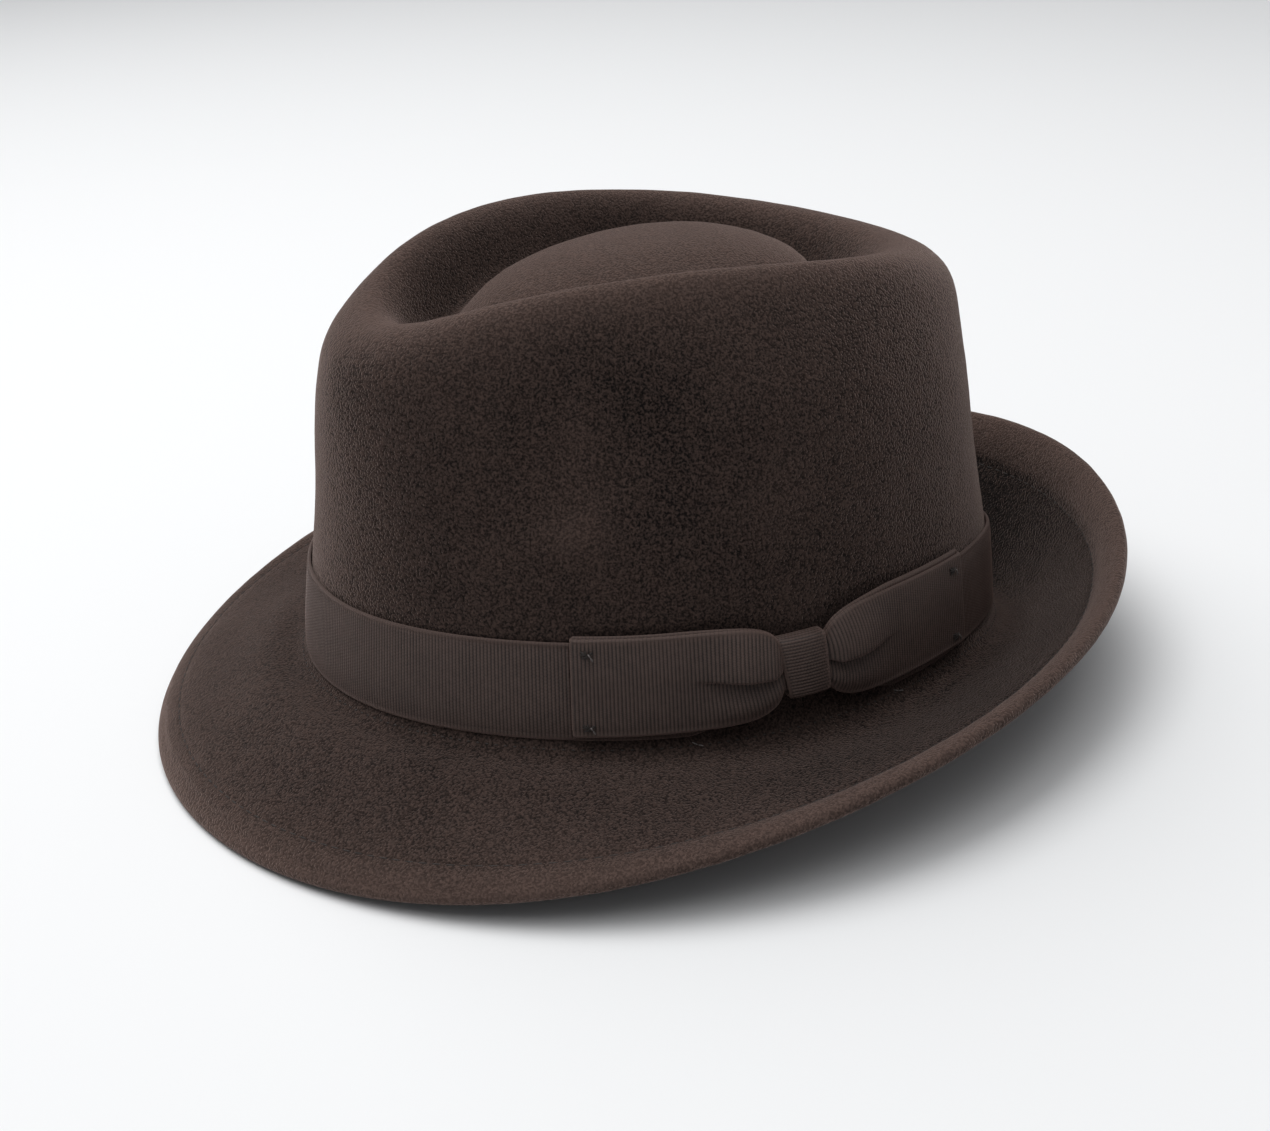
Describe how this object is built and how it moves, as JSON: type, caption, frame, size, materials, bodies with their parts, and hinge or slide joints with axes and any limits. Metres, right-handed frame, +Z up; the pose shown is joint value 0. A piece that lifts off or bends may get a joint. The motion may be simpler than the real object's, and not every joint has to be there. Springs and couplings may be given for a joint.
{
  "type": "trilby hat",
  "caption": "Hollow felt trilby with a teardrop crown, side pinches, a brim down in front and up behind, a ribbon band and a flat bow.",
  "frame": {"origin": "on the table that the hat stands on, under the middle of its outline", "axes": "+Z up through the crown; -Y is the front of the hat, +Y the rear, +X the side with the bow"},
  "size_m": [0.2546, 0.2812, 0.1299],
  "materials": {
    "felt": "matt napped wool felt",
    "ribbon": "ribbed grosgrain"
  },
  "bodies": {
    "root": {"felt_body": "felt", "ribbon_band": "ribbon", "bow_ribbon": "ribbon", "bow_knot": "ribbon"}
  },
  "joints": []
}
